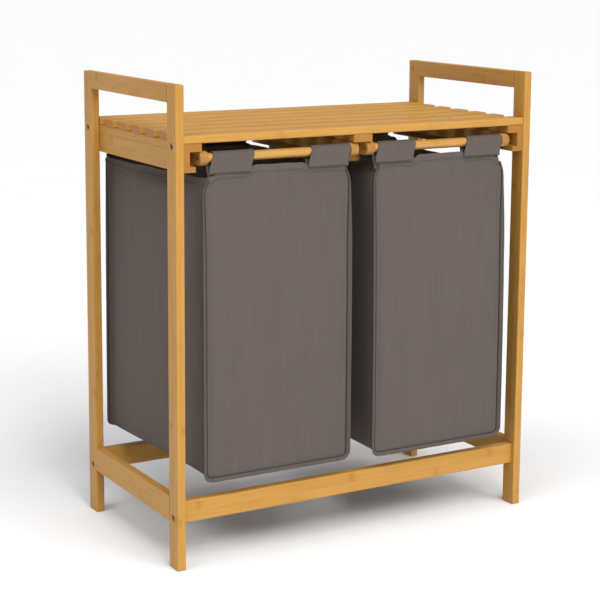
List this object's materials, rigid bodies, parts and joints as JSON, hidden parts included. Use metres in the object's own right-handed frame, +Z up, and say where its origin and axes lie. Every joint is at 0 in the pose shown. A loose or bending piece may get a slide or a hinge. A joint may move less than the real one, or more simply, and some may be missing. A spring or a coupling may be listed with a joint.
{
  "type": "laundry sorter",
  "caption": "Bamboo laundry sorter with a slatted top shelf and grey cloth bags that hang from rods on carriers, which slide out to the front.",
  "frame": {"origin": "on the floor, under the middle of the frame", "axes": "+Z up, +X to the right as seen from the front, -Y to the front, the way the bags slide out"},
  "size_m": [0.642, 0.34, 0.73],
  "materials": {
    "bamboo": "clear satin lacquer over laminated bamboo strips",
    "cloth": "plain-woven taupe grey polyester, sewn seams",
    "steel": "dark zinc-plated steel"
  },
  "bodies": {
    "frame": {"front_left_post": "bamboo", "back_left_post": "bamboo", "front_right_post": "bamboo", "back_right_post": "bamboo", "left_handle_rail": "bamboo", "right_handle_rail": "bamboo", "left_lower_rail": "bamboo", "right_lower_rail": "bamboo", "front_lower_rail": "bamboo", "back_lower_rail": "bamboo", "shelf_slat_1": "bamboo", "shelf_slat_2": "bamboo", "shelf_slat_3": "bamboo", "shelf_slat_4": "bamboo", "shelf_slat_5": "bamboo", "shelf_slat_6": "bamboo", "shelf_slat_7": "bamboo", "left_shelf_cleat": "bamboo", "middle_shelf_cleat": "bamboo", "right_shelf_cleat": "bamboo", "left_slide_rail": "bamboo", "right_slide_rail": "bamboo", "left_guide_bar": "bamboo", "middle_guide_bar": "bamboo", "right_guide_bar": "bamboo", "left_slide_ledge": "bamboo", "middle_slide_ledge": "bamboo", "right_slide_ledge": "bamboo", "frame_dowels": "bamboo", "frame_bolts": "steel", "barrel_nuts": "steel", "slat_screws": "steel", "guide_screws": "steel"},
    "left_carrier": {"left_carrier_outer_bar": "bamboo", "left_carrier_inner_bar": "bamboo", "left_carrier_front_rod": "bamboo", "left_carrier_back_rod": "bamboo", "left_carrier_screws": "steel", "left_bag": "cloth", "left_bag_loops": "cloth"},
    "right_carrier": {"right_carrier_outer_bar": "bamboo", "right_carrier_inner_bar": "bamboo", "right_carrier_front_rod": "bamboo", "right_carrier_back_rod": "bamboo", "right_carrier_screws": "steel", "right_bag": "cloth", "right_bag_loops": "cloth"}
  },
  "joints": [
    {"name": "left_bag_slide", "type": "slide", "parent": "frame", "child": "left_carrier", "axis": [0, -1, 0], "range_m": [0, 0.26]},
    {"name": "right_bag_slide", "type": "slide", "parent": "frame", "child": "right_carrier", "axis": [0, -1, 0], "range_m": [0, 0.26]}
  ]
}
